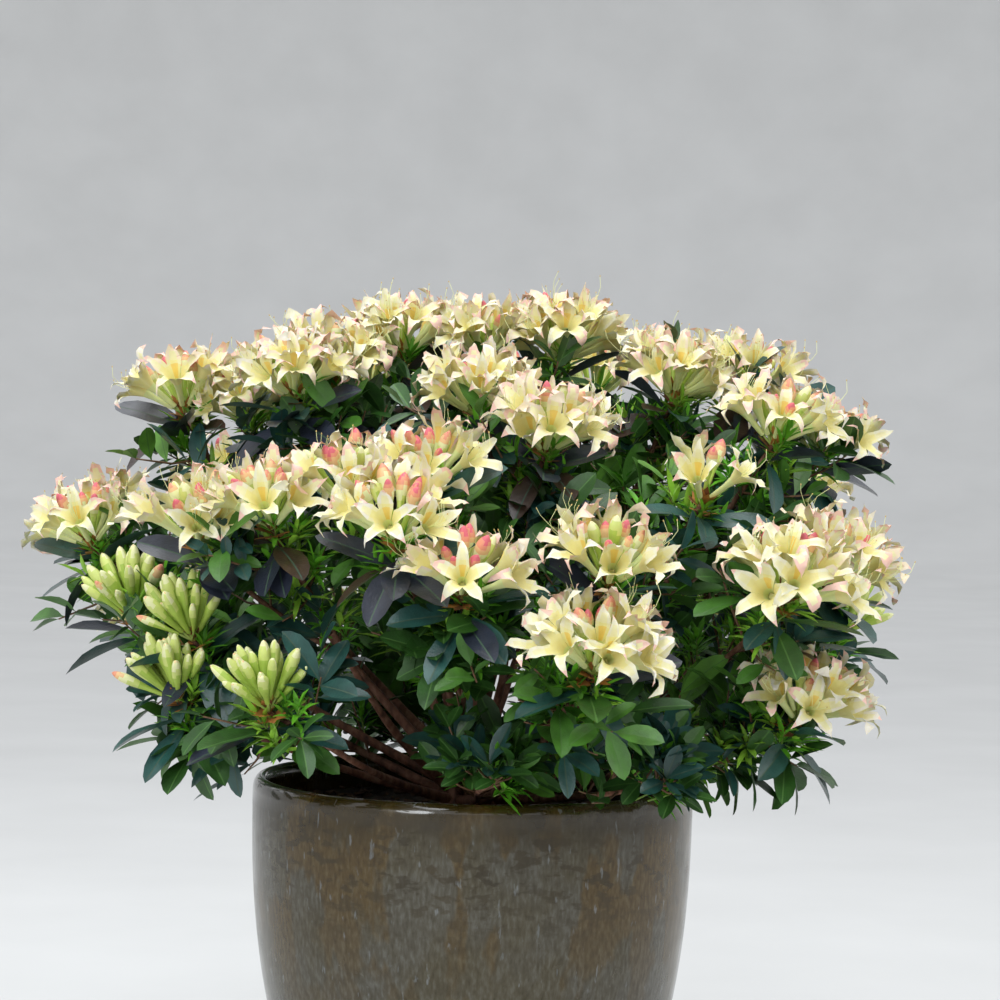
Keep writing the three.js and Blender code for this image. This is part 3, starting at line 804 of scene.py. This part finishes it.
def compost_points():
    points = []
    rings = 46
    segments = 120
    edge = pot_radius(SOIL_TOP) - POT_WALL - 0.4
    for i in range(1, rings + 1):
        radius = edge * i / rings
        for k in range(segments):
            turn = 2 * math.pi * (k + 0.5 * (i % 2)) / segments
            x, y = radius * math.cos(turn), radius * math.sin(turn)
            points.append((x, y, SOIL_TOP - 1 + soil_relief(x, y)))
    for k in range(segments):
        turn = 2 * math.pi * k / segments
        points.append((edge * math.cos(turn), edge * math.sin(turn), SOIL_TOP - 14))
    points.append((0, 0, SOIL_TOP))
    faces = [face[::-1] for face in grid(rings + 1, segments, True)]
    middle = len(points) - 1
    for k in range(segments):
        faces.append(np.array((middle, k, (k + 1) % segments)))
    return np.array(points), faces


pot = Batch()
lathe(pot, pot_profile(), 144, 0, pot_relief)
soil = Batch()
soil.add(*compost_points(), FILL)

# Chips of bark on the compost
CHIPS = 520
chip_draw = seeded(77)
for _ in range(CHIPS):
    angle = 360 * chip_draw()
    radius = 150 * math.sqrt(chip_draw())
    at = facing(angle) * radius
    at[2] = SOIL_TOP + soil_relief(at[0], at[1])
    along = leaving(UP, 70 + 25 * chip_draw(), 360 * chip_draw())
    size = 3 + 7 * chip_draw()
    tube(soil, (at, at + along * size), (size * 0.22, size * 0.14), 4, CHIP)


def crown_relief(turn, radius, height):
    return 1.6 * math.sin(5 * turn + 0.05 * height) + 0.9 * math.sin(11 * turn - 0.2 * height)


crown = Batch()
foot_height = SOIL_TOP + 0.3
lathe(
    crown,
    [
        (0, foot_height),
        (TRUNK_FOOT_RADIUS, foot_height),
        (TRUNK_FOOT_RADIUS * 0.86, foot_height + 4),
        (TRUNK_WAIST_RADIUS * 1.1, foot_height + 10),
        (TRUNK_WAIST_RADIUS, foot_height + 18),
        (TRUNK_WAIST_RADIUS * 0.9, foot_height + 27),
        (TRUNK_WAIST_RADIUS * 0.75, foot_height + 34),
        (TRUNK_WAIST_RADIUS * 0.4, foot_height + 41),
        (0, foot_height + TRUNK_HEIGHT * 1.06),
    ],
    40,
    0,
    crown_relief,
)


def nodes_of(material):
    material.use_nodes = True
    tree = material.node_tree
    return tree, tree.nodes["Principled BSDF"]


def link(tree, source, target):
    tree.links.new(source, target)


def noise(tree, scale, detail=4.0, stretch=(1, 1, 1)):
    """Noise over the object, its size in cycles to the metre, squeezed or drawn out along an axis."""
    coords = tree.nodes.new("ShaderNodeTexCoord")
    mapping = tree.nodes.new("ShaderNodeMapping")
    mapping.inputs["Scale"].default_value = stretch
    texture = tree.nodes.new("ShaderNodeTexNoise")
    texture.inputs["Scale"].default_value = scale
    texture.inputs["Detail"].default_value = detail
    link(tree, coords.outputs["Object"], mapping.inputs["Vector"])
    link(tree, mapping.outputs["Vector"], texture.inputs["Vector"])
    return texture.outputs["Fac"]


def ramp(tree, source, *stops):
    """A ramp through (position, colour) stops."""
    node = tree.nodes.new("ShaderNodeValToRGB")
    elements = node.color_ramp.elements
    elements[0].position, elements[1].position = stops[0][0], stops[-1][0]
    elements[0].color, elements[1].color = (*stops[0][1], 1), (*stops[-1][1], 1)
    for position, colour in stops[1:-1]:
        elements.new(position).color = (*colour, 1)
    link(tree, source, node.inputs["Fac"])
    return node.outputs["Color"]


def bump(tree, source, shader, distance, strength=0.5):
    node = tree.nodes.new("ShaderNodeBump")
    node.inputs["Distance"].default_value = distance
    node.inputs["Strength"].default_value = strength
    link(tree, source, node.inputs["Height"])
    link(tree, node.outputs["Normal"], shader.inputs["Normal"])


def tinted(name, colour, spread, roughness, scale, grain, relief, soft=0.0, coat=0.0):
    """A living surface: its colour wanders a little, and fine veins or grain roughen it."""
    material = bpy.data.materials.new(name)
    tree, shader = nodes_of(material)
    low = tuple(c * (1 - spread) for c in colour)
    high = tuple(min(c * (1 + spread), 1) for c in colour)
    link(tree, ramp(tree, noise(tree, scale), (0.3, low), (0.7, high)), shader.inputs["Base Color"])
    shader.inputs["Roughness"].default_value = roughness
    shader.inputs["Subsurface Weight"].default_value = soft
    shader.inputs["Subsurface Radius"].default_value = (0.006, 0.005, 0.003)
    shader.inputs["Coat Weight"].default_value = coat
    shader.inputs["Coat Roughness"].default_value = 0.35
    bump(tree, noise(tree, grain, 6), shader, relief)
    return material


def mixed(tree, factor, first, second):
    node = tree.nodes.new("ShaderNodeMix")
    node.data_type = "RGBA"
    link(tree, factor, node.inputs["Factor"])
    link(tree, first, node.inputs["A"])
    link(tree, second, node.inputs["B"])
    return node.outputs["Result"]


def maths(tree, operation, first, second):
    """A clamped sum or product of an output and either another output or a number."""
    node = tree.nodes.new("ShaderNodeMath")
    node.operation = operation
    node.use_clamp = True
    link(tree, first, node.inputs[0])
    if isinstance(second, float):
        node.inputs[1].default_value = second
    else:
        link(tree, second, node.inputs[1])
    return node.outputs[0]


def height_above(tree, low, high):
    """0 at one height of the object and 1 at another, in metres."""
    coords = tree.nodes.new("ShaderNodeTexCoord")
    split = tree.nodes.new("ShaderNodeSeparateXYZ")
    span = tree.nodes.new("ShaderNodeMapRange")
    link(tree, coords.outputs["Object"], split.inputs["Vector"])
    link(tree, split.outputs["Z"], span.inputs["Value"])
    span.inputs["From Min"].default_value = low
    span.inputs["From Max"].default_value = high
    return span.outputs["Result"]


def grained(tree, grain, low, middle, high):
    """Three shades of the glaze, from the bottom of its grain to the top."""
    return ramp(tree, grain, (0.28, low), (0.5, middle), (0.74, high))


def glaze():
    """A glossy olive-brown glaze with a fine vertical grain, short pale runs and dark crawl marks.

    It is rusty where it ran thin below the rim, and greyer lower down.
    """
    material = bpy.data.materials.new("glaze")
    tree, shader = nodes_of(material)
    black, white = (0, 0, 0), (1, 1, 1)
    grain = noise(tree, 380, 7, (1, 1, 0.34))
    olive = grained(tree, grain, (0.036, 0.026, 0.007), (0.062, 0.05, 0.024), (0.096, 0.086, 0.058))
    grey = grained(tree, grain, (0.048, 0.042, 0.028), (0.076, 0.071, 0.056), (0.125, 0.123, 0.11))
    rust = grained(tree, grain, (0.042, 0.022, 0.001), (0.074, 0.043, 0.006), (0.105, 0.074, 0.027))
    clouds = ramp(tree, noise(tree, 26, 7, (1, 1, 0.6)), (0.42, black), (0.58, white))
    lower = maths(tree, "ADD", height_above(tree, 0.2, 0.04), maths(tree, "MULTIPLY", clouds, 0.55))
    colour = mixed(tree, lower, olive, grey)
    high = height_above(tree, 0.12, 0.24)
    patches = ramp(tree, noise(tree, 23, 8, (1, 1, 0.45)), (0.49, black), (0.53, white))
    rusty = maths(tree, "MULTIPLY", maths(tree, "MULTIPLY", patches, high), 0.95)
    colour = mixed(tree, rusty, colour, rust)
    crawl = ramp(tree, noise(tree, 66, 8, (1, 1, 2.1)), (0.52, black), (0.59, white))
    crawled = ramp(tree, noise(tree, 9, 3), (0.38, black), (0.46, white))
    crawling = maths(tree, "MULTIPLY", crawl, crawled)
    marks = maths(tree, "MULTIPLY", crawling, height_above(tree, 0.19, 0.25))
    colour = mixed(tree, maths(tree, "MULTIPLY", marks, 0.8), colour, dark_brown(tree))
    rim = ramp(tree, noise(tree, 26, 7, (1, 1, 0.8)), (0.36, black), (0.5, white))
    band = maths(tree, "MULTIPLY", rim, height_above(tree, 0.272, 0.292))
    colour = mixed(tree, maths(tree, "MULTIPLY", band, 0.85), colour, dark_brown(tree))
    runs = ramp(tree, noise(tree, 190, 3, (1, 1, 0.3)), (0.66, black), (0.72, white))
    colour = mixed(tree, maths(tree, "MULTIPLY", runs, 0.45), colour, grey_blue(tree))
    link(tree, colour, shader.inputs["Base Color"])
    roughness = ramp(tree, noise(tree, 45, 4), (0.3, (0.12, 0.12, 0.12)), (0.7, (0.28, 0.28, 0.28)))
    link(tree, roughness, shader.inputs["Roughness"])
    shader.inputs["Specular IOR Level"].default_value = 0.4
    gloss = ramp(tree, height_above(tree, 0.29, 0.304), (0, (0.12, 0.12, 0.12)), (1, (0.9, 0.9, 0.9)))
    link(tree, gloss, shader.inputs["Coat Weight"])
    shader.inputs["Coat Roughness"].default_value = 0.05
    bump(tree, noise(tree, 120, 5, (1, 1, 0.35)), shader, 0.0006, 0.4)
    return material


def grey_blue(tree):
    return ramp(tree, noise(tree, 20), (0.3, (0.17, 0.185, 0.19)), (0.7, (0.27, 0.295, 0.31)))


def dark_brown(tree):
    return ramp(tree, noise(tree, 30), (0.3, (0.022, 0.014, 0.002)), (0.7, (0.042, 0.027, 0.005)))


def bark():
    """Reddish-brown bark with grey flakes and fine ridges along the stem."""
    material = bpy.data.materials.new("bark")
    tree, shader = nodes_of(material)
    colour = ramp(
        tree,
        noise(tree, 160, 8, (1, 1, 0.35)),
        (0.3, (0.045, 0.017, 0.008)),
        (0.5, (0.14, 0.052, 0.026)),
        (0.72, (0.24, 0.13, 0.08)),
    )
    link(tree, colour, shader.inputs["Base Color"])
    shader.inputs["Roughness"].default_value = 0.75
    bump(tree, noise(tree, 420, 8, (1, 1, 0.3)), shader, 0.0012, 0.8)
    return material


def piece(name, batch, materials, slot, *replaced):
    mesh = bpy.data.meshes.new(name)
    mesh.from_pydata((np.concatenate(batch.points) * MM).tolist(), [], batch.faces)
    mesh.polygons.foreach_set("material_index", batch.tints)
    mesh.shade_smooth()
    for material in materials:
        mesh.materials.append(material)
    obj = bpy.data.objects.new(name, mesh)
    bpy.context.scene.collection.objects.link(obj)
    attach(obj, "root")
    if replaced:
        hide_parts(*replaced)
    print(name, batch.triangles())


bough_nodes = [f"bough_{mass[0]}" for mass in MASSES]
mass_nodes = [f"mass_{mass[0]}" for mass in MASSES]
bark_material = bark()

piece("planter_glazed", pot, [glaze()], "glaze", "planter")
compost_materials = [
    tinted("compost", (0.03, 0.019, 0.012), 0.6, 0.95, 90, 500, 0.002),
    tinted("bark_chips", (0.085, 0.045, 0.025), 0.5, 0.9, 120, 600, 0.001),
]
piece("compost_surface", soil, compost_materials, "compost", "compost")
piece("root_crown_bark", crown, [bark_material], "bark", "root_crown")
piece("boughs_and_stems_bark", wood, [bark_material], "bark", *bough_nodes)
piece("fine_twigs", twigs, [tinted("twig", (0.15, 0.075, 0.035), 0.4, 0.65, 200, 700, 0.0004)], "bark")

dark_materials = [
    tinted("leaf_slate", (0.022, 0.027, 0.044), 0.4, 0.34, 60, 500, 0.0006, coat=0.3),
    tinted("leaf_bronze", (0.042, 0.022, 0.015), 0.4, 0.36, 60, 500, 0.0006, coat=0.2),
    tinted("leaf_blue_green", (0.018, 0.07, 0.058), 0.4, 0.36, 60, 500, 0.0006, coat=0.25),
    tinted("leaf_dark_rib", (0.05, 0.09, 0.06), 0.15, 0.5, 60, 500, 0.0004),
]
green_materials = [
    tinted("leaf_deep_green", (0.024, 0.085, 0.011), 0.35, 0.45, 60, 500, 0.0006, coat=0.12),
    tinted("leaf_mid_green", (0.055, 0.165, 0.018), 0.35, 0.45, 60, 500, 0.0006, coat=0.12),
    tinted("leaf_light_green", (0.095, 0.24, 0.028), 0.3, 0.45, 60, 500, 0.0006, coat=0.1),
    tinted("leaf_green_rib", (0.07, 0.17, 0.035), 0.15, 0.5, 60, 500, 0.0004),
]
young_materials = [
    tinted("young_stem", (0.18, 0.3, 0.04), 0.2, 0.5, 80, 800, 0.0002),
    tinted("young_green", (0.13, 0.41, 0.022), 0.3, 0.45, 80, 800, 0.0002, soft=0.1),
    tinted("young_yellow_green", (0.29, 0.55, 0.05), 0.25, 0.45, 80, 800, 0.0002, soft=0.1),
]
petal_materials = [
    tinted("petal_cream", (0.8, 0.76, 0.56), 0.05, 0.6, 90, 500, 0.0004, soft=0.5),
    tinted("petal_pale", (0.8, 0.75, 0.62), 0.05, 0.6, 90, 500, 0.0004, soft=0.5),
    tinted("petal_warm", (0.82, 0.7, 0.52), 0.05, 0.6, 90, 500, 0.0004, soft=0.5),
    tinted("petal_soft_yellow", (0.8, 0.75, 0.44), 0.05, 0.6, 90, 500, 0.0004, soft=0.5),
    tinted("petal_throat", (0.8, 0.73, 0.32), 0.05, 0.6, 90, 500, 0.0004, soft=0.5),
    tinted("petal_blotch", (0.82, 0.6, 0.15), 0.06, 0.6, 90, 500, 0.0004, soft=0.4),
    tinted("petal_tube", (0.74, 0.78, 0.36), 0.06, 0.6, 90, 500, 0.0004, soft=0.5),
    tinted("petal_blush", (0.84, 0.56, 0.46), 0.06, 0.6, 90, 500, 0.0004, soft=0.5),
]
bud_materials = [
    tinted("bud_green", (0.42, 0.56, 0.09), 0.15, 0.5, 80, 600, 0.0002, soft=0.2),
    tinted("bud_yellow", (0.62, 0.69, 0.2), 0.12, 0.5, 80, 600, 0.0002, soft=0.2),
    tinted("bud_cream", (0.78, 0.78, 0.42), 0.08, 0.5, 80, 600, 0.0002, soft=0.2),
    tinted("bud_peach", (0.8, 0.5, 0.24), 0.1, 0.5, 80, 600, 0.0002, soft=0.2),
    tinted("bud_coral", (0.76, 0.3, 0.18), 0.12, 0.5, 80, 600, 0.0002, soft=0.2),
    tinted("bud_pink", (0.7, 0.14, 0.17), 0.15, 0.5, 80, 600, 0.0002, soft=0.2),
]
piece("leaves_dark", dark_leaves, dark_materials, "foliage", *mass_nodes)
piece("leaves_green", green_leaves, green_materials, "foliage", *mass_nodes)
piece("young_shoots", young_leaves, young_materials, "young_leaf")
piece("petals", petals, petal_materials, "blossom", *mass_nodes)
stamen_materials = [
    tinted("stamen", (0.8, 0.82, 0.4), 0.08, 0.5, 80, 600, 0.0001),
    tinted("anther", (0.6, 0.42, 0.14), 0.15, 0.6, 80, 600, 0.0001),
]
piece("stamens", anthers, stamen_materials, "blossom")
piece("buds", buds, bud_materials, "bud")
scale_materials = [
    tinted("bud_scale", (0.5, 0.2, 0.05), 0.3, 0.6, 120, 700, 0.0002),
    tinted("flower_stalk", (0.38, 0.5, 0.12), 0.15, 0.5, 80, 600, 0.0002),
    tinted("bud_scale_brown", (0.2, 0.075, 0.03), 0.3, 0.6, 120, 700, 0.0002),
]
piece("bud_scales_and_stalks", scales, scale_materials, "bud")


# Stage, camera and light
BACKDROP_RADIUS = 9
BACKDROP_BEND = 4


def backdrop():
    """A pale floor that curves up into a wall all round, out of sight of its edge."""
    sides = 96
    rings = [(BACKDROP_RADIUS * share, 0) for share in (0.1, 0.35, 0.7, 1)]
    for k in range(1, 13):
        turn = math.radians(90 * k / 12)
        radius = BACKDROP_RADIUS + BACKDROP_BEND * math.sin(turn)
        rings.append((radius, BACKDROP_BEND * (1 - math.cos(turn))))
    points = [
        (radius * math.cos(math.tau * k / sides), radius * math.sin(math.tau * k / sides), height)
        for radius, height in rings
        for k in range(sides)
    ]
    faces = [face[::-1].tolist() for face in grid(len(rings), sides, True)]
    mesh = bpy.data.meshes.new("floor")
    mesh.from_pydata(points, [], faces + [tuple(range(sides))])
    mesh.shade_smooth()
    material = bpy.data.materials.new("floor")
    tree, shader = nodes_of(material)
    pale = ramp(tree, noise(tree, 3), (0.3, (0.6, 0.6, 0.59)), (0.7, (0.64, 0.64, 0.63)))
    link(tree, pale, shader.inputs["Base Color"])
    shader.inputs["Roughness"].default_value = 0.85
    mesh.materials.append(material)
    floor = bpy.data.objects.new("floor", mesh)
    bpy.context.scene.collection.objects.link(floor)


backdrop()

FRAME_PIXELS = 1000
FOCAL_PIXELS = 2847
camera_data = bpy.data.cameras.new("camera")
camera_data.sensor_width = 36
camera_data.lens = 36 * FOCAL_PIXELS / FRAME_PIXELS
camera_data.clip_end = 100
camera = bpy.data.objects.new("camera", camera_data)
camera.location = (0.015, -2.2, 0.58)
bpy.context.scene.collection.objects.link(camera)
bpy.context.scene.camera = camera
camera.rotation_euler = (math.radians(90 - 1.44), math.radians(-1.2), 0)


def softbox(name, place, aim, size, watts, colour):
    data = bpy.data.lights.new(name, "AREA")
    data.shape = "DISK"
    data.size = size
    data.energy = watts
    data.color = colour
    lamp = bpy.data.objects.new(name, data)
    lamp.location = place
    away = np.array(place, float) - np.array(aim, float)
    yaw = math.atan2(away[0], -away[1])
    pitch = math.atan2(math.hypot(away[0], away[1]), away[2])
    lamp.rotation_euler = (pitch, 0, yaw)
    bpy.context.scene.collection.objects.link(lamp)


softbox("sky", (-0.3, -1.3, 2.6), (0, 0, 0.4), 2.2, 34, (0.9, 0.95, 1))
softbox("top", (-0.2, 0.7, 2.6), (0, 0, 0.5), 1.6, 20, (0.95, 0.98, 1))
softbox("front", (-1.3, -2.4, 1.25), (0, 0, 0.4), 0.9, 15, (0.93, 0.97, 1))
softbox("side", (2.4, -0.5, 1.2), (0, 0, 0.4), 0.9, 9, (1, 0.98, 0.95))

world = bpy.data.worlds.new("studio")
bpy.context.scene.world = world
world.use_nodes = True
world.node_tree.nodes["Background"].inputs["Color"].default_value = (0.83, 0.85, 0.88, 1)
world.node_tree.nodes["Background"].inputs["Strength"].default_value = 1.1

bpy.context.scene.view_settings.view_transform = "Standard"
